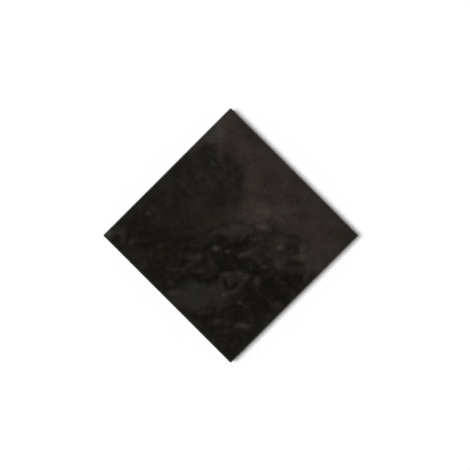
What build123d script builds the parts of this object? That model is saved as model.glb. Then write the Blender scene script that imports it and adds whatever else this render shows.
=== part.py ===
"""Porcelain cabochon tile: a small square inset sawn from a larger pressed and fired floor tile.

The tile lies face up. Its bed plane is the XY plane, its sawn edges run along X and Y,
and the origin is the middle of the bed plane. All lengths are in millimetres.
"""

import math
import os

from build123d import *

# Slab
tile_side = 70.0  # each sawn edge
tile_thickness = 10.0  # bed plane to face
face_arris = 0.4  # 45 degree bevel ground round the face
corner_arris = 0.3  # bevel dressed down each upright corner

# Keying pattern pressed into the back
key_pitch = 14.0  # rib to rib, both ways
key_rib_width = 3.0  # flat land of a rib, on the bed plane
key_depth = 0.6  # how far a cell is sunk between the ribs
key_draft = 30.0  # lean of a cell's walls from upright, in degrees
key_cell_round = 2.0  # round in the corners of a cell

# A cell narrows by its draft from its mouth, on the bed plane, to its floor.
key_mouth_side = key_pitch - key_rib_width
key_floor_side = key_mouth_side - 2 * key_depth * math.tan(math.radians(key_draft))

# A rib passes under the middle of the tile each way, and the outermost cells run out at the sawn edges.
middle_rib_to_edge = (tile_side - key_rib_width) / 2
cells_across = 2 * math.ceil(middle_rib_to_edge / key_pitch)

# One keying cell, as the raised stud of the press plate that forms it
with BuildPart() as key_stud:
    with BuildSketch(Plane.XY):
        RectangleRounded(key_mouth_side, key_mouth_side, key_cell_round)
    with BuildSketch(Plane.XY.offset(key_depth)):
        RectangleRounded(key_floor_side, key_floor_side, key_cell_round)
    loft(ruled=True)

with BuildPart() as cabochon_tile:
    # The sawn slab
    with BuildSketch(Plane.XY):
        Rectangle(tile_side, tile_side)
    extrude(amount=tile_thickness)

    # Dressed corners, then the fine bevel round the face
    chamfer(cabochon_tile.edges().filter_by(Axis.Z), length=corner_arris)
    face_edges = cabochon_tile.faces().sort_by(Axis.Z)[-1].edges()
    chamfer(face_edges, length=face_arris)

    # Shallow cells in the back, which key into the adhesive
    with GridLocations(key_pitch, key_pitch, cells_across, cells_across):
        add(key_stud.part, mode=Mode.SUBTRACT)

cabochon_tile.part.label = "cabochon_tile"

os.makedirs("parts", exist_ok=True)
export_step(cabochon_tile.part, "parts/cabochon_tile.step")
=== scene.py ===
"""Porcelain cabochon tile, dressed for looks around its solid.

The tile keeps the solid's outline. Its face gets a shallow pressed relief, a printed stone mottle
and a worn rim, its edges get the bare sawn body, and its back gets that body with a thin kiln wash.
Lengths are in metres, and values whose names end in _mm or _MM are in millimetres.
On the face, "right" and "up" are the directions in which the camera sees it: the tile stands on a corner.
"""

import math
from collections import namedtuple

import bmesh
import bpy
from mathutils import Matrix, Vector, noise


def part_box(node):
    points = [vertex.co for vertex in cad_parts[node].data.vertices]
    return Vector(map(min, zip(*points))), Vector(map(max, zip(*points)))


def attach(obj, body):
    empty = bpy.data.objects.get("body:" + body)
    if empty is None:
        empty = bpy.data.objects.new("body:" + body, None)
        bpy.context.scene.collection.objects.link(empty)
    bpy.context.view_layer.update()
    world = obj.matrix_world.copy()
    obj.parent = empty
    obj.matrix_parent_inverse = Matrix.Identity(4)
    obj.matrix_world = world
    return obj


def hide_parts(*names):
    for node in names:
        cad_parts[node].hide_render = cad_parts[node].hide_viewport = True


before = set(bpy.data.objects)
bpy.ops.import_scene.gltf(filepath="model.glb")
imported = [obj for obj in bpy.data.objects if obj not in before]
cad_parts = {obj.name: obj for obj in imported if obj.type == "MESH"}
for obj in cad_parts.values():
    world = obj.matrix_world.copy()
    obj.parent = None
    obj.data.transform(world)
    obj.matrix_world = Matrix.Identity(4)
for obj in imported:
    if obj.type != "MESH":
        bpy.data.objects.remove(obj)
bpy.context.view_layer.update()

MM = 0.001
NODE = "cabochon_tile"
TILE_LOW, TILE_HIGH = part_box(NODE)
TILE_SIDE = TILE_HIGH.x - TILE_LOW.x
FACE_HEIGHT = TILE_HIGH.z

# The camera's right and up, as directions along the tile
FACE_TURN = math.radians(45)
RIGHT = Vector((math.cos(FACE_TURN), -math.sin(FACE_TURN), 0))
UP = Vector((math.sin(FACE_TURN), math.cos(FACE_TURN), 0))

# Zones of the tile, as places in its list of materials
FACE_ZONE, SAWN_ZONE, BACK_ZONE = range(3)

# How far up a surface of the solid looks, as the height of its normal
FACE_LOOKS_UP = 0.99  # the flat face, at least
BEVEL_LOOKS_UP = 0.10  # the bevel round the face, at least
BACK_LOOKS_UP = -0.05  # the back with the walls of its cells, at most

# One layer of the pressed relief: the length and height of its lumps, then how fast its octaves weaken,
# how much finer each is than the last, and how many there are
Relief = namedtuple("Relief", "length_mm height_mm weakening refining octaves")

RELIEF = (
    Relief(15.0, 0.040, 1.0, 2.0, 2),  # slow swell
    Relief(1.8, 0.055, 0.8, 2.1, 3),  # grain
)

# Making of the face and its bevel
GRID_STEP_MM = 0.30  # side of a cell of the cut face
NIBBLE_MM = 1.1  # length of the unevenness of the ground bevel
NIBBLE_DEPTH_MM = 0.12  # how far the bevel eats into the face at most
WELD = 1e-6  # corners nearer than this are one corner
FLAT_ANGLE = math.radians(0.5)  # surfaces that lean less than this to each other are one surface
SHARP_ANGLE = math.radians(25)  # edges that turn more than this are sharp

# Tones of the printed mottle and of the body, as linear colours
TONES = {
    "pitch": (0.0030, 0.0028, 0.0016),
    "ink": (0.0064, 0.0059, 0.0037),
    "slate": (0.0106, 0.0100, 0.0086),
    "olive": (0.0152, 0.0144, 0.0106),
    "rust": (0.0092, 0.0066, 0.0050),
    "tan": (0.0158, 0.0134, 0.0099),
    "ash": (0.0170, 0.0165, 0.0146),
    "lichen": (0.0180, 0.0170, 0.0136),
    "bone": (0.0310, 0.0295, 0.0245),
    "umber": (0.0251, 0.0198, 0.0169),
    "clay": (0.0340, 0.0208, 0.0190),
    "rose": (0.0400, 0.0292, 0.0262),
    "cream": (0.0560, 0.0480, 0.0420),
    "chalk": (0.0535, 0.0496, 0.0474),
    "body": (0.0290, 0.0266, 0.0242),
    # pale grains of the body, also used for the painted highlight along the top of the sawn edge
    "grit_and_highlight": (0.0760, 0.0710, 0.0650),
    "wash": (0.1100, 0.1020, 0.0920),
}

# One printed cloud: its middle, its half length and half width, the turn of its length from right
# towards up in degrees, how soft its rim is, its tone and how strongly it covers what lies below it
Cloud = namedtuple("Cloud", "right_mm up_mm long_mm wide_mm turn soft tone cover")

GROUND_CLOUDS = (
    # Olive fields over the middle and the lower half
    Cloud(-6.0, 9.0, 10.0, 7.5, 0, 0.50, "olive", 0.75),
    Cloud(-9.0, 1.5, 5.0, 3.0, 0, 0.50, "olive", 0.40),
    Cloud(-14.0, -12.0, 8.0, 3.0, 5, 0.60, "olive", 0.30),
    Cloud(15.0, -7.5, 10.0, 3.0, -10, 0.60, "olive", 0.45),
    Cloud(3.0, -16.0, 6.0, 3.0, -3, 0.50, "olive", 0.45),
    Cloud(5.0, -35.2, 5.0, 2.0, 0, 0.60, "olive", 0.50),
    Cloud(12.7, -2.1, 4.0, 3.8, 0, 0.50, "lichen", 0.60),
    Cloud(11.0, -8.0, 6.0, 2.6, 10, 0.60, "lichen", 0.25),
    Cloud(25.0, -13.4, 4.0, 2.2, 0, 0.60, "olive", 0.60),
    # Darkest ground
    Cloud(17.0, -21.5, 12.0, 5.6, 35, 0.45, "pitch", 0.47),
    Cloud(24.0, -25.0, 4.0, 3.0, 45, 0.60, "pitch", 0.50),
)

COOL_CLOUDS = (
    # Cool field on the upper left, and the dark below it
    Cloud(-15.0, 23.0, 26.0, 14.0, 45, 0.40, "slate", 0.85),
    Cloud(-26.0, 16.5, 11.0, 5.0, 45, 0.50, "slate", 0.50),
    Cloud(-18.6, 1.6, 3.2, 3.0, 0, 0.50, "slate", 0.60),
    Cloud(-0.5, 21.5, 5.6, 7.0, 0, 0.35, "slate", 0.85),
    Cloud(-6.5, 23.0, 12.0, 6.5, 10, 0.50, "ash", 0.32),
    Cloud(-30.5, 3.2, 8.0, 5.6, -5, 0.50, "ink", 0.70),
)

PRINT_CLOUDS = (
    # Brown and olive stains between the cool field and the warm one
    Cloud(-12.0, 13.8, 3.4, 3.2, 0, 0.50, "olive", 0.50),
    Cloud(0.8, 13.4, 3.8, 4.0, 0, 0.50, "olive", 0.75),
    Cloud(-5.8, 14.2, 3.5, 3.4, 0, 0.60, "rust", 0.90),
    Cloud(-12.0, 7.6, 3.6, 3.4, 0, 0.45, "tan", 0.85),
    Cloud(-5.4, 7.4, 3.6, 3.2, 0, 0.50, "tan", 0.80),
    Cloud(0.8, 7.0, 3.6, 2.6, 0, 0.50, "umber", 0.50),
    # Warm field along the upper right edge, with its lobes
    Cloud(32.0, 14.5, 44.0, 13.5, -45, 0.14, "umber", 0.95),
    Cloud(5.4, 38.8, 10.8, 9.2, 90, 0.16, "umber", 0.95),
    Cloud(2.0, 33.0, 4.6, 4.0, 0, 0.25, "umber", 0.90),
    Cloud(17.0, 22.5, 12.4, 10.0, 0, 0.16, "umber", 0.95),
    Cloud(14.0, 11.5, 10.0, 8.0, 0, 0.18, "umber", 0.95),
    Cloud(6.4, 17.4, 2.8, 4.2, 0, 0.50, "umber", 0.85),
    Cloud(26.0, 5.0, 9.0, 7.0, 0, 0.25, "umber", 0.95),
    Cloud(34.0, -7.4, 7.6, 7.6, 0, 0.20, "umber", 0.95),
    Cloud(21.5, -0.5, 5.5, 4.0, 0, 0.50, "umber", 0.60),
    Cloud(19.1, -7.6, 2.8, 6.4, 0, 0.50, "umber", 0.60),
    Cloud(2.8, 2.0, 6.0, 2.6, 0, 0.35, "umber", 0.88),
    Cloud(1.8, 2.6, 2.8, 1.3, 0, 0.80, "cream", 0.20),
    Cloud(22.5, 22.5, 7.5, 3.4, -45, 0.80, "tan", 0.22),
    Cloud(6.7, 32.4, 3.8, 3.4, 0, 0.70, "cream", 0.07),
    Cloud(48.0, 0.0, 7.0, 6.0, 0, 0.50, "olive", 0.65),
    Cloud(1.0, 48.0, 2.0, 1.6, 0, 0.60, "ash", 0.45),
    Cloud(4.8, 42.5, 2.6, 1.5, 0, 0.60, "olive", 0.40),
    Cloud(-1.4, 30.4, 2.8, 1.4, -20, 0.60, "rust", 0.70),
    # Rosy rim of the warm field
    Cloud(9.8, 8.9, 6.8, 4.4, 0, 0.45, "rose", 0.78),
    Cloud(18.9, 9.2, 4.4, 2.2, -6, 0.60, "cream", 0.26),
    Cloud(8.0, 23.0, 1.8, 6.4, 0, 0.60, "rose", 0.26),
    Cloud(13.0, 19.8, 3.6, 3.4, 0, 0.60, "clay", 0.45),
    Cloud(-0.4, 43.6, 3.0, 2.6, 0, 0.60, "rose", 0.40),
    # Grey patch of the lower left
    Cloud(-14.5, -23.8, 8.6, 5.2, 0, 0.22, "ash", 0.95),
    Cloud(-18.8, -18.6, 2.8, 1.3, -10, 0.50, "ink", 0.55),
    Cloud(-5.4, -23.2, 5.8, 4.6, 15, 0.45, "lichen", 0.72),
    # Pale marks along the left edges
    Cloud(-6.2, 39.2, 3.9, 2.9, 45, 0.50, "chalk", 0.55),
    Cloud(-3.9, 36.5, 1.9, 6.4, 0, 0.60, "rose", 0.55),
    Cloud(-11.5, 36.6, 5.5, 1.3, 45, 0.70, "chalk", 0.34),
    Cloud(-3.2, 45.2, 5.6, 1.4, 45, 0.70, "cream", 0.50),
    Cloud(-48.0, 0.6, 2.0, 2.6, 0, 0.60, "chalk", 0.60),
    Cloud(-36.8, -6.0, 5.6, 2.6, -45, 0.50, "slate", 0.75),
    Cloud(-28.0, 7.0, 8.0, 2.8, 0, 0.40, "slate", 0.60),
)

SCUFFS = (
    # Scuffs and specks left of the middle
    Cloud(-5.9, -4.9, 1.60, 1.40, 0, 0.80, "olive", 0.70),
    Cloud(-5.8, -5.0, 0.95, 0.78, -20, 0.90, "chalk", 0.72),
    Cloud(-1.2, -6.3, 0.85, 0.70, -20, 0.90, "bone", 0.90),
    Cloud(-15.0, -8.1, 2.60, 1.40, 0, 0.70, "bone", 0.40),
    Cloud(-12.3, -8.4, 1.10, 1.60, 0, 0.70, "bone", 0.35),
    Cloud(-6.8, -11.5, 1.40, 1.20, 0, 0.80, "bone", 0.28),
    Cloud(-11.6, -13.8, 2.60, 0.80, 5, 0.70, "bone", 0.40),
    Cloud(-22.2, -13.1, 2.00, 0.60, 0, 0.70, "bone", 0.30),
    Cloud(-15.5, -15.4, 2.80, 1.20, 0, 0.60, "pitch", 0.65),
    Cloud(-7.8, -16.9, 4.20, 0.90, 14, 0.60, "pitch", 0.70),
    Cloud(-2.2, -11.0, 4.40, 1.60, 3, 0.60, "pitch", 0.40),
    Cloud(0.1, -13.1, 3.80, 0.55, 0, 0.60, "pitch", 0.75),
    Cloud(-22.4, -22.3, 2.20, 0.80, 0, 0.70, "bone", 0.60),
    Cloud(-18.6, -19.8, 2.10, 1.60, 0, 0.60, "slate", 0.70),
    Cloud(-10.4, -29.5, 2.20, 1.30, 0, 0.70, "ash", 0.55),
    Cloud(-13.5, 30.4, 1.60, 3.40, 0, 0.70, "ash", 0.60),
    Cloud(-23.3, -18.4, 1.30, 1.10, 0, 0.70, "bone", 0.35),
    Cloud(-32.0, 8.5, 1.10, 0.90, -40, 0.70, "bone", 0.40),
    Cloud(-28.3, 6.6, 0.80, 1.00, 0, 0.70, "bone", 0.30),
    Cloud(-38.4, -2.6, 1.00, 0.90, 0, 0.80, "bone", 0.50),
    Cloud(-44.4, 2.2, 2.00, 1.80, 45, 0.70, "ash", 0.75),
    Cloud(-41.8, 0.3, 1.20, 3.50, 0, 0.60, "bone", 0.42),
    Cloud(-33.9, -11.2, 1.60, 1.60, 0, 0.70, "bone", 0.35),
    Cloud(-6.9, 27.9, 1.20, 0.90, -30, 0.80, "bone", 0.50),
    Cloud(-11.9, 13.2, 1.80, 1.30, 20, 0.70, "bone", 0.18),
    # Chipped mark below the middle, dark with a pale rim
    Cloud(0.9, -16.6, 3.60, 2.10, 0, 0.60, "lichen", 0.58),
    Cloud(-1.6, -15.0, 2.30, 0.90, 3, 0.80, "bone", 0.55),
    Cloud(3.4, -14.8, 1.80, 0.80, -4, 0.80, "bone", 0.30),
    Cloud(-3.8, -18.2, 1.10, 2.00, 0, 0.70, "bone", 0.35),
    Cloud(4.4, -18.4, 3.80, 1.00, 50, 0.70, "bone", 0.38),
    Cloud(0.9, -21.9, 2.60, 0.80, 5, 0.70, "bone", 0.38),
    Cloud(-1.8, -19.0, 2.10, 0.80, -72, 0.60, "pitch", 0.90),
    Cloud(1.8, -19.0, 1.50, 0.80, 40, 0.70, "pitch", 0.72),
    Cloud(-0.2, -20.6, 1.30, 0.60, 0, 0.60, "pitch", 0.55),
    Cloud(9.2, -14.4, 3.20, 0.85, -2, 0.60, "pitch", 0.85),
    Cloud(7.6, -17.4, 3.00, 0.90, 45, 0.60, "pitch", 0.60),
    Cloud(-2.6, -23.1, 0.75, 0.90, 0, 0.90, "chalk", 0.45),
    Cloud(3.4, -26.1, 1.00, 0.80, -30, 0.80, "bone", 0.45),
    Cloud(4.8, -35.0, 3.00, 0.90, -4, 0.60, "bone", 0.55),
    Cloud(-5.5, -33.7, 2.20, 1.20, 0, 0.70, "bone", 0.27),
    Cloud(14.9, -31.0, 1.10, 1.40, 0, 0.70, "lichen", 0.52),
    Cloud(-10.7, -34.0, 1.40, 1.30, 0, 0.70, "rust", 0.60),
    # Scuffs and specks right of the middle
    Cloud(4.4, -3.4, 4.20, 1.10, 8, 0.60, "pitch", 0.75),
    Cloud(5.0, -7.5, 1.70, 0.75, 15, 0.80, "bone", 0.65),
    Cloud(7.2, -6.7, 2.40, 0.80, 25, 0.80, "bone", 0.30),
    Cloud(13.1, -12.2, 1.20, 0.75, 0, 0.90, "bone", 0.60),
    Cloud(10.1, -17.8, 1.10, 1.40, 0, 0.90, "bone", 0.60),
    Cloud(12.5, 3.1, 2.60, 1.50, 0, 0.60, "rose", 0.65),
    Cloud(12.1, 3.5, 1.50, 0.70, 0, 0.90, "cream", 0.85),
    Cloud(12.9, -0.4, 1.80, 1.40, 0, 0.70, "lichen", 0.60),
    Cloud(1.2, 9.4, 2.60, 1.40, 0, 0.60, "olive", 0.45),
    Cloud(-12.2, 7.9, 2.40, 2.60, 0, 0.50, "rust", 0.36),
    Cloud(-9.4, -1.6, 3.60, 1.30, 0, 0.70, "olive", 0.55),
    Cloud(-23.6, 19.8, 2.00, 2.00, 0, 0.70, "slate", 0.75),
    Cloud(-28.5, 11.2, 2.00, 2.20, 0, 0.70, "slate", 0.65),
    Cloud(14.3, 2.5, 1.70, 0.90, -8, 0.80, "cream", 0.22),
    Cloud(20.3, 1.4, 1.90, 2.60, 0, 0.60, "slate", 0.38),
    Cloud(18.7, 6.2, 2.80, 0.70, -27, 0.80, "cream", 0.26),
    Cloud(21.3, 9.8, 1.50, 0.60, -8, 0.80, "cream", 0.22),
    Cloud(20.5, 7.5, 1.10, 0.70, -10, 0.80, "tan", 0.65),
    Cloud(11.3, 11.6, 1.10, 0.60, 0, 0.80, "cream", 0.20),
    Cloud(15.1, 6.1, 1.10, 0.80, 15, 0.80, "rust", 0.30),
    Cloud(26.0, 12.8, 0.55, 1.30, 0, 0.80, "rust", 0.48),
    Cloud(17.0, 1.4, 1.10, 1.50, 0, 0.70, "rust", 0.75),
    Cloud(23.8, -0.6, 3.00, 1.20, -10, 0.60, "rust", 0.80),
    Cloud(23.8, -4.2, 2.40, 2.70, 0, 0.50, "rust", 0.40),
    Cloud(23.7, -6.0, 0.90, 0.80, 0, 0.90, "bone", 0.50),
    Cloud(19.3, -4.6, 1.00, 0.85, 0, 0.90, "cream", 0.58),
    Cloud(18.6, -11.9, 0.70, 1.60, 20, 0.80, "rose", 0.65),
    Cloud(28.0, -5.4, 1.10, 3.60, 0, 0.60, "bone", 0.70),
    Cloud(26.0, -8.5, 3.00, 0.90, 0, 0.90, "cream", 0.30),
    Cloud(25.0, -13.2, 3.40, 1.60, 0, 0.70, "lichen", 0.55),
    Cloud(25.0, -10.9, 3.40, 0.65, 0, 0.60, "ink", 0.75),
    Cloud(30.6, -11.6, 1.00, 4.00, 0, 0.60, "bone", 0.45),
    Cloud(31.6, -15.2, 1.20, 1.40, 0, 0.60, "rust", 0.80),
    Cloud(29.0, -16.7, 0.90, 2.00, 0, 0.70, "bone", 0.42),
    Cloud(34.3, -12.1, 1.20, 1.60, 0, 0.70, "rose", 0.50),
    Cloud(20.8, -20.4, 2.00, 1.70, 0, 0.70, "pitch", 0.55),
    Cloud(18.2, -27.2, 2.20, 1.50, 0, 0.70, "umber", 0.60),
)

# A noise: the length of its largest lumps, its detail and its roughness
Noise = namedtuple("Noise", "length_mm detail roughness")
NOISE_MIDDLE = (0.5, 0.5, 0.5)

# Drift that frays the print: its noise, and how far it carries from one extreme to the other
Drift = namedtuple("Drift", "noise reach_mm")

SLOW_DRIFT = Drift(Noise(9.0, 2.0, 0.50), 3.2)
FAST_DRIFT = Drift(Noise(1.8, 2.0, 0.50), 1.5)
SCUFF_DRIFT = Drift(Noise(1.1, 2.0, 0.50), 0.7)

# Swing of a colour: its noise, and how far it goes lighter and darker, either way of 1
Swing = namedtuple("Swing", "noise reach")
SWING_VALUES = (0.25, 0.75)  # values of the noise at the two ends of the swing

SAW_LINES = Noise(0.60, 3.0, 0.60)
LUMPS = Swing(Noise(2.8, 1.0, 0.50), 0.36)
MOTTLE = Swing(Noise(6.0, 3.0, 0.55), 0.30)
PRINT_GRAIN = Swing(Noise(0.9, 3.0, 0.60), 0.26)
PRINT_DOTS = Swing(Noise(0.22, 1.0, 0.50), 0.22)
SAW_MARKS = Swing(SAW_LINES, 0.80)
BODY_GRAIN = Swing(Noise(0.60, 3.0, 0.60), 0.80)
BODY_CLOUD = Swing(Noise(9.0, 2.0, 0.50), 0.35)
SAW_MARK_STRETCH = 24.0  # how much longer a saw mark is than it is high

# Patches: their noise, its values where a patch starts and is full, and the cover of a full patch
Patches = namedtuple("Patches", "noise start full cover")

BLOTCHES = Patches(Noise(3.2, 2.0, 0.50), 0.50, 0.72, 0.62)  # pale ones of the printed ground
POOLS = Patches(Noise(3.8, 2.0, 0.50), 0.42, 0.30, 0.52)  # dark ones of the printed ground
RIM_WEAR = Patches(Noise(0.8, 2.0, 0.50), 0.35, 0.65, 0.55)
PALE_GRAINS = Patches(Noise(0.5, 1.0, 0.50), 0.62, 0.70, 0.55)
# Pale chipped spots along the top of the sawn edge, partly real chipping and partly a painted highlight
# there
CHIPS_AND_EDGE_HIGHLIGHT = Patches(Noise(0.9, 2.0, 0.50), 0.48, 0.60, 0.50)
KILN_WASH = Patches(Noise(9.0, 5.0, 0.65), 0.35, 0.65, 1.0)

# Where these patches lie
WEAR_START_MM, WEAR_FULL_MM = 3.8, 0.8  # from the edge of the tile inwards
# Band of the chipped spots and of the painted edge highlight
CHIP_AND_HIGHLIGHT_START_MM, CHIP_AND_HIGHLIGHT_FULL_MM = 0.8, 0.4  # from the face downwards
RIB_END_MM, CELL_START_MM = 0.05, 0.40  # from the bed plane upwards, where a rib turns into a cell
RIB_WASH_SHARE, CELL_WASH_SHARE = 0.75, 0.22  # how much of the wash the ribs and the cells hold

# Bump of a surface: its noise, and the height of its lumps
Bump = namedtuple("Bump", "noise height_mm")

PORES = Bump(Noise(0.50, 3.0, 0.60), 0.07)
SAW_RIDGES = Bump(SAW_LINES, 0.08)
BACK_GRAIN = Bump(Noise(0.80, 3.0, 0.50), 0.08)

# Gloss of a surface: the noise that its roughness follows, and its least and greatest roughness
Gloss = namedtuple("Gloss", "noise least greatest")
GLOSS_VALUES = (0.30, 0.70)  # values of the noise at the least and the greatest roughness

FACE_GLOSS = Gloss(MOTTLE.noise, 0.44, 0.62)
SAWN_GLOSS = Gloss(SAW_LINES, 0.62, 0.78)
BACK_GLOSS = Gloss(KILN_WASH.noise, 0.80, 0.92)
SPECULAR = 0.45

# Studio
KEY_OFF_ZENITH = math.radians(12.5)  # the lamp stands to the left of straight above
KEY_WIDTH = math.radians(15)  # all of it is on the left, so only the right edges cast a shadow
KEY_IRRADIANCE = 0.89 * math.pi  # a white sheet that faces the lamp gives back 0.89 of white
CEILING_GLOW, WALL_GLOW = 0.05, 1.0  # of the surroundings, overhead and level with the eye
WALL_FADE = 4.0  # how fast the walls' glow falls off towards the ceiling
WHITE = (1, 1, 1)
FLOOR_COLOUR = (0.97, 0.97, 0.97)
FLOOR_GLOW = 0.07  # what the lit floor lacks to paper white
FLOOR_REACH = 12.0  # from its middle to each side

# Camera: the photo's frame is square, and this is where the tile stands in it
PHOTO_SIDE_PX = 470
TILE_SIDE_PX = 180.6
TILE_MIDDLE_PX = (230.65, 235.43)
LENS_MM, SENSOR_MM = 135.0, 36.0

# Places of the colour sockets of a mix node
MIX_FACTOR, MIX_FIRST, MIX_SECOND, MIX_RESULT = 0, 6, 7, 2


class Graph:
    """The node tree of a material or a world, with short calls for the nodes used here."""

    def __init__(self, owner):
        owner.use_nodes = True
        self.owner = owner
        self.nodes = owner.node_tree.nodes
        self.links = owner.node_tree.links

    def feed(self, socket, value):
        """Links an output to a socket, or sets a plain number, vector or colour on it."""
        if isinstance(value, bpy.types.NodeSocket):
            self.links.new(value, socket)
        elif socket.type == "RGBA":
            socket.default_value = (*value, 1)
        else:
            socket.default_value = value

    def node(self, kind, inputs=None, **settings):
        """Adds a node, sets its properties and then feeds its inputs, given by name or place."""
        node = self.nodes.new(kind)
        for name, value in settings.items():
            setattr(node, name, value)
        for socket, value in (inputs or {}).items():
            self.feed(node.inputs[socket], value)
        return node

    def math(self, operation, *values):
        return self.node("ShaderNodeMath", dict(enumerate(values)), operation=operation).outputs[0]

    def vector(self, operation, *values):
        return self.node("ShaderNodeVectorMath", dict(enumerate(values)), operation=operation).outputs[0]

    def scaled(self, vector, scale):
        return self.node("ShaderNodeVectorMath", {0: vector, "Scale": scale}, operation="SCALE").outputs[0]

    def axes(self, vector):
        """The outputs X, Y and Z of a vector."""
        return self.node("ShaderNodeSeparateXYZ", {0: vector}).outputs

    def spread(self, value, low, high, to_low, to_high, smooth=False):
        """Carries the range low to high over to another, and stays level outside it."""
        inputs = {"Value": value, "From Min": low, "From Max": high, "To Min": to_low, "To Max": to_high}
        kind = "SMOOTHSTEP" if smooth else "LINEAR"
        return self.node("ShaderNodeMapRange", inputs, interpolation_type=kind).outputs[0]

    def mix(self, factor, first, second):
        """Mixes two colours."""
        inputs = {MIX_FACTOR: factor, MIX_FIRST: first, MIX_SECOND: second}
        return self.node("ShaderNodeMix", inputs, data_type="RGBA").outputs[MIX_RESULT]

    def noise(self, place, kind, output="Fac"):
        """A noise at a place: "Fac" is one value, and "Color" is three that differ."""
        inputs = {
            "Vector": place,
            "Scale": 1 / kind.length_mm,
            "Detail": kind.detail,
            "Roughness": kind.roughness,
        }
        return self.node("ShaderNodeTexNoise", inputs).outputs[output]

    def place_mm(self, turn=0.0):
        """Where a point lies on the tile, in millimetres, with the axes turned about the upright."""
        where = self.node("ShaderNodeTexCoord").outputs["Object"]
        inputs = {"Vector": where, "Rotation": (0, 0, turn), "Scale": (1 / MM, 1 / MM, 1 / MM)}
        return self.node("ShaderNodeMapping", inputs).outputs[0]

    def drifted(self, place, drift):
        """Carries each place off along the face by a drift."""
        swirl = self.vector("SUBTRACT", self.noise(place, drift.noise, "Color"), NOISE_MIDDLE)
        return self.vector("ADD", place, self.vector("MULTIPLY", swirl, (drift.reach_mm, drift.reach_mm, 0)))

    def swung(self, colour, place, swing):
        """Swings a colour lighter and darker."""
        value = self.noise(place, swing.noise)
        return self.scaled(colour, self.spread(value, *SWING_VALUES, 1 - swing.reach, 1 + swing.reach))

    def patches(self, place, kind):
        """The cover of patches: 0 between them and the greatest where they are full."""
        return self.spread(self.noise(place, kind.noise), kind.start, kind.full, 0, kind.cover)

    def oval(self, place, cloud):
        """The cover of a printed cloud: its own in its middle, and 0 outside its soft rim."""
        outer = 1 + cloud.soft  # where the rim ends, in half lengths and half widths
        inputs = {
            "Vector": place,
            "Location": (cloud.right_mm, cloud.up_mm, 0),
            "Rotation": (0, 0, math.radians(cloud.turn)),
            "Scale": (cloud.long_mm * outer, cloud.wide_mm * outer, 1),
        }
        from_middle = self.node("ShaderNodeMapping", inputs, vector_type="TEXTURE").outputs[0]

        # A ball falls evenly from 1 in the middle to 0 where the rim ends
        ball = self.node("ShaderNodeTexGradient", {"Vector": from_middle}, gradient_type="SPHERICAL")
        return self.spread(ball.outputs["Fac"], 0, 2 * cloud.soft / outer, 0, cloud.cover, smooth=True)

    def clouded(self, colour, place, clouds):
        """Lays printed clouds over a colour, one after the other."""
        for cloud in clouds:
            colour = self.mix(self.oval(place, cloud), colour, TONES[cloud.tone])
        return colour

    def fired(self, colour, place, gloss, bump):
        """Finishes a material as fired porcelain of a colour, a gloss and a bump."""
        roughness = self.spread(self.noise(place, gloss.noise), *GLOSS_VALUES, gloss.least, gloss.greatest)
        relief = {"Height": self.noise(place, bump.noise), "Distance": bump.height_mm * MM}
        shader = self.nodes["Principled BSDF"]
        self.feed(shader.inputs["Base Color"], colour)
        self.feed(shader.inputs["Roughness"], roughness)
        self.feed(shader.inputs["Normal"], self.node("ShaderNodeBump", relief).outputs[0])
        self.feed(shader.inputs["Specular IOR Level"], SPECULAR)
        return self.owner


def face_material():
    """Matt printed face: clouds of brown, grey and olive over near-black, frayed, mottled and worn."""
    graph = Graph(bpy.data.materials.new("porcelain_face"))

    # The print is flat, so its places have no height
    place = graph.vector("MULTIPLY", graph.place_mm(FACE_TURN), (1, 1, 0))
    frayed = graph.drifted(graph.drifted(place, SLOW_DRIFT), FAST_DRIFT)

    # Ground
    colour = graph.clouded(TONES["ink"], frayed, GROUND_CLOUDS)
    colour = graph.mix(graph.patches(place, BLOTCHES), colour, TONES["olive"])
    colour = graph.mix(graph.patches(place, POOLS), colour, TONES["pitch"])
    colour = graph.clouded(colour, frayed, COOL_CLOUDS)
    colour = graph.swung(colour, place, LUMPS)

    # Print and scuffs
    colour = graph.clouded(colour, frayed, PRINT_CLOUDS)
    colour = graph.clouded(colour, graph.drifted(place, SCUFF_DRIFT), SCUFFS)

    # Worn rim
    from_middle = graph.axes(graph.vector("ABSOLUTE", graph.place_mm()))
    outward = graph.math("MAXIMUM", from_middle["X"], from_middle["Y"])
    edge_mm = TILE_SIDE / 2 / MM
    rim = graph.spread(outward, edge_mm - WEAR_START_MM, edge_mm - WEAR_FULL_MM, 0, 1)
    wear = graph.math("MULTIPLY", rim, graph.patches(place, RIM_WEAR))
    colour = graph.mix(wear, colour, TONES["ash"])

    for swing in (MOTTLE, PRINT_GRAIN, PRINT_DOTS):
        colour = graph.swung(colour, place, swing)
    return graph.fired(colour, place, FACE_GLOSS, PORES)


def sawn_material():
    """Bare porcelain body where the saw went through: close grain, and fine marks along the cut."""
    graph = Graph(bpy.data.materials.new("porcelain_sawn"))
    place = graph.place_mm()
    axes = graph.axes(place)
    along = graph.math("DIVIDE", graph.math("ADD", axes["X"], axes["Y"]), SAW_MARK_STRETCH)
    cut = graph.node("ShaderNodeCombineXYZ", {"X": along, "Y": axes["Z"]}).outputs[0]

    colour = graph.swung(TONES["body"], place, BODY_CLOUD)
    colour = graph.swung(colour, cut, SAW_MARKS)
    colour = graph.swung(colour, place, BODY_GRAIN)
    colour = graph.mix(graph.patches(place, PALE_GRAINS), colour, TONES["grit_and_highlight"])

    # Chipped body on and just under the bevel, paler: partly real chipping, partly a painted highlight along
    # the top edge of the sawn sides
    face_mm = FACE_HEIGHT / MM
    chip_and_highlight_band = graph.spread(axes["Z"], face_mm - CHIP_AND_HIGHLIGHT_START_MM, face_mm - CHIP_AND_HIGHLIGHT_FULL_MM, 0, 1)
    chips_and_highlight = graph.math("MULTIPLY", chip_and_highlight_band, graph.patches(place, CHIPS_AND_EDGE_HIGHLIGHT))
    colour = graph.mix(chips_and_highlight, colour, TONES["grit_and_highlight"])
    return graph.fired(colour, cut, SAWN_GLOSS, SAW_RIDGES)


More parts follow.
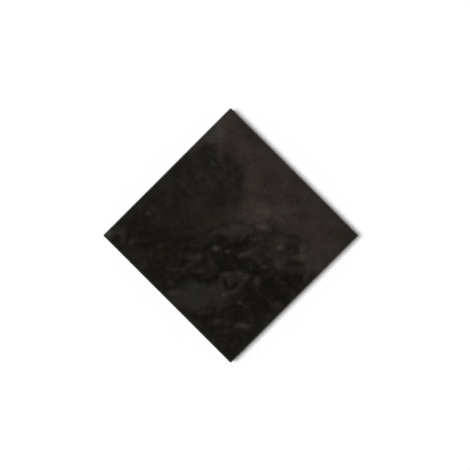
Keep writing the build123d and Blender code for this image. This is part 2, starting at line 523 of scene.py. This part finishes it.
def back_material():
    """Unglazed back: the body with thin, patchy kiln wash, most of it on the ribs."""
    graph = Graph(bpy.data.materials.new("porcelain_back"))
    place = graph.place_mm()
    height = graph.axes(place)["Z"]
    held = graph.spread(height, RIB_END_MM, CELL_START_MM, RIB_WASH_SHARE, CELL_WASH_SHARE)
    wash = graph.math("MULTIPLY", graph.patches(place, KILN_WASH), held)
    colour = graph.mix(wash, TONES["body"], TONES["wash"])
    colour = graph.swung(colour, place, BODY_GRAIN)
    return graph.fired(colour, place, BACK_GLOSS, BACK_GRAIN)


def zone_of(surface):
    """The zone that a surface of the solid belongs to, by how far up it looks."""
    if surface.normal.z > FACE_LOOKS_UP:
        return FACE_ZONE
    if surface.normal.z < BACK_LOOKS_UP:
        return BACK_ZONE
    return SAWN_ZONE


def slice_faces(mesh, faces, axis, places):
    """Cuts faces along planes across one axis, from low to high, and returns all that results."""
    done, waiting = [], list(faces)
    for place in places:
        edges = {edge for face in waiting for edge in face.edges}
        corners = {corner for face in waiting for corner in face.verts}
        cut = bmesh.ops.bisect_plane(
            mesh, geom=[*waiting, *edges, *corners], dist=WELD, plane_co=axis * place, plane_no=axis)
        pieces = [part for part in cut["geom"] if isinstance(part, bmesh.types.BMFace)]
        done += [face for face in pieces if face.calc_center_median().dot(axis) < place]
        waiting = [face for face in pieces if face.calc_center_median().dot(axis) > place]
    return done + waiting


def nibble_rim(mesh, rim):
    """Draws in the rim of the face, this far from its middle, by the uneven depth of a ground bevel."""
    for corner in mesh.verts:
        zones = {face.material_index for face in corner.link_faces}
        if not {FACE_ZONE, SAWN_ZONE} <= zones:
            continue
        bite = (1 + noise.noise(corner.co / MM / NIBBLE_MM)) / 2
        for axis in range(2):
            if abs(corner.co[axis]) > rim - WELD:
                corner.co[axis] -= math.copysign(NIBBLE_DEPTH_MM * MM * bite, corner.co[axis])


def relief_mm(spot):
    """Height of the pressed relief at a spot on the face, both in millimetres."""
    height = 0
    for layer in RELIEF:
        lump = noise.fractal(spot / layer.length_mm, layer.weakening, layer.refining, layer.octaves)
        height += layer.height_mm * lump
    return height


def press_relief(mesh):
    """Moves the corners of the face by the relief, with its highest point on the solid's face."""
    corners = {corner for face in mesh.faces if face.material_index == FACE_ZONE for corner in face.verts}
    heights = {corner: relief_mm(Vector((corner.co.x, corner.co.y, 0)) / MM) for corner in corners}
    highest = max(heights.values())
    for corner, height in heights.items():
        corner.co.z += (height - highest) * MM


def add_object(data):
    """Puts a mesh, a lamp or a camera into the scene as an object of the same name."""
    thing = bpy.data.objects.new(data.name, data)
    bpy.context.scene.collection.objects.link(thing)
    return thing


def make_tile():
    """The solid's own surface, with its zones marked and its face cut fine enough for the relief."""
    mesh = bmesh.new()
    mesh.from_mesh(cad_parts[NODE].data)
    bmesh.ops.remove_doubles(mesh, verts=mesh.verts, dist=WELD)
    bmesh.ops.dissolve_limit(mesh, angle_limit=FLAT_ANGLE, verts=mesh.verts, edges=mesh.edges)
    mesh.normal_update()
    for face in mesh.faces:
        face.material_index = zone_of(face)
        face.smooth = True

    # The face and its bevel, cut along one grid so that they keep sharing their corners
    upper = [face for face in mesh.faces if face.normal.z > BEVEL_LOOKS_UP]
    rim = max(corner.co.x for face in upper if face.material_index == FACE_ZONE for corner in face.verts)
    cells = round(2 * rim / MM / GRID_STEP_MM)
    places = [rim * (2 * index / cells - 1) for index in range(1, cells)]
    for axis in (Vector((1, 0, 0)), Vector((0, 1, 0))):
        upper = slice_faces(mesh, upper, axis, places)
    nibble_rim(mesh, rim)
    press_relief(mesh)

    data = bpy.data.meshes.new("dressed_tile")
    mesh.to_mesh(data)
    mesh.free()

    # The normals that came with the solid no longer fit its pressed face
    if "custom_normal" in data.attributes:
        data.attributes.remove(data.attributes["custom_normal"])
    data.set_sharp_from_angle(angle=SHARP_ANGLE)
    for material in (face_material(), sawn_material(), back_material()):
        data.materials.append(material)
    return add_object(data)


def floor_material():
    """White paint that keeps a shadow, lifted to paper white where the eye or a reflection meets it."""
    graph = Graph(bpy.data.materials.new("white_floor"))
    graph.nodes.clear()
    ray = graph.node("ShaderNodeLightPath").outputs
    seen = graph.math("MAXIMUM", ray["Is Camera Ray"], ray["Is Glossy Ray"])
    seen = graph.math("MAXIMUM", seen, ray["Is Transmission Ray"])
    strength = graph.math("MULTIPLY", seen, FLOOR_GLOW)
    paint = graph.node("ShaderNodeBsdfDiffuse", {"Color": FLOOR_COLOUR}).outputs[0]
    glow = graph.node("ShaderNodeEmission", {"Color": WHITE, "Strength": strength}).outputs[0]
    both = graph.node("ShaderNodeAddShader", {0: paint, 1: glow}).outputs[0]
    graph.node("ShaderNodeOutputMaterial", {"Surface": both})
    return graph.owner


def make_floor():
    """A wide white floor on the bed plane."""
    mesh = bmesh.new()
    bmesh.ops.create_grid(mesh, x_segments=1, y_segments=1, size=FLOOR_REACH)
    bmesh.ops.translate(mesh, verts=mesh.verts, vec=(0, 0, TILE_LOW.z))
    data = bpy.data.meshes.new("floor")
    mesh.to_mesh(data)
    mesh.free()
    data.materials.append(floor_material())
    return add_object(data)


def light_studio():
    """A broad lamp overhead on the left, and dim surroundings that are paler at the walls."""
    lamp = bpy.data.lights.new("key", "SUN")
    lamp.energy = KEY_IRRADIANCE
    lamp.angle = KEY_WIDTH
    key = add_object(lamp)
    towards = Vector((0, 0, 1)) * math.cos(KEY_OFF_ZENITH) - RIGHT * math.sin(KEY_OFF_ZENITH)
    key.rotation_euler = towards.to_track_quat("Z", "Y").to_euler()
    key.visible_glossy = False  # as with a polarising filter, its glare stays off the dark face

    graph = Graph(bpy.data.worlds.new("studio"))
    height = graph.axes(graph.node("ShaderNodeTexCoord").outputs["Generated"])["Z"]
    near_wall = graph.math("POWER", graph.spread(height, 0, 1, 1, 0), WALL_FADE)
    background = graph.nodes["Background"]
    graph.feed(background.inputs["Color"], WHITE)
    graph.feed(background.inputs["Strength"], graph.spread(near_wall, 0, 1, CEILING_GLOW, WALL_GLOW))
    bpy.context.scene.world = graph.owner


def place_camera():
    """Looks straight down, with the tile standing on a corner where the photo shows it."""
    pixel = TILE_SIDE / TILE_SIDE_PX
    middle_px = PHOTO_SIDE_PX / 2
    aside = RIGHT * (middle_px - TILE_MIDDLE_PX[0]) + UP * (TILE_MIDDLE_PX[1] - middle_px)
    distance = PHOTO_SIDE_PX * pixel * LENS_MM / SENSOR_MM
    lens = bpy.data.cameras.new("camera")
    lens.lens = LENS_MM
    lens.sensor_width = SENSOR_MM
    camera = add_object(lens)
    camera.location = aside * pixel + Vector((0, 0, FACE_HEIGHT + distance))
    camera.rotation_euler = (0, 0, -FACE_TURN)
    bpy.context.scene.camera = camera


tile = make_tile()
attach(tile, "root")
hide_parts(NODE)
make_floor()
light_studio()
place_camera()
bpy.context.scene.view_settings.view_transform = "Standard"
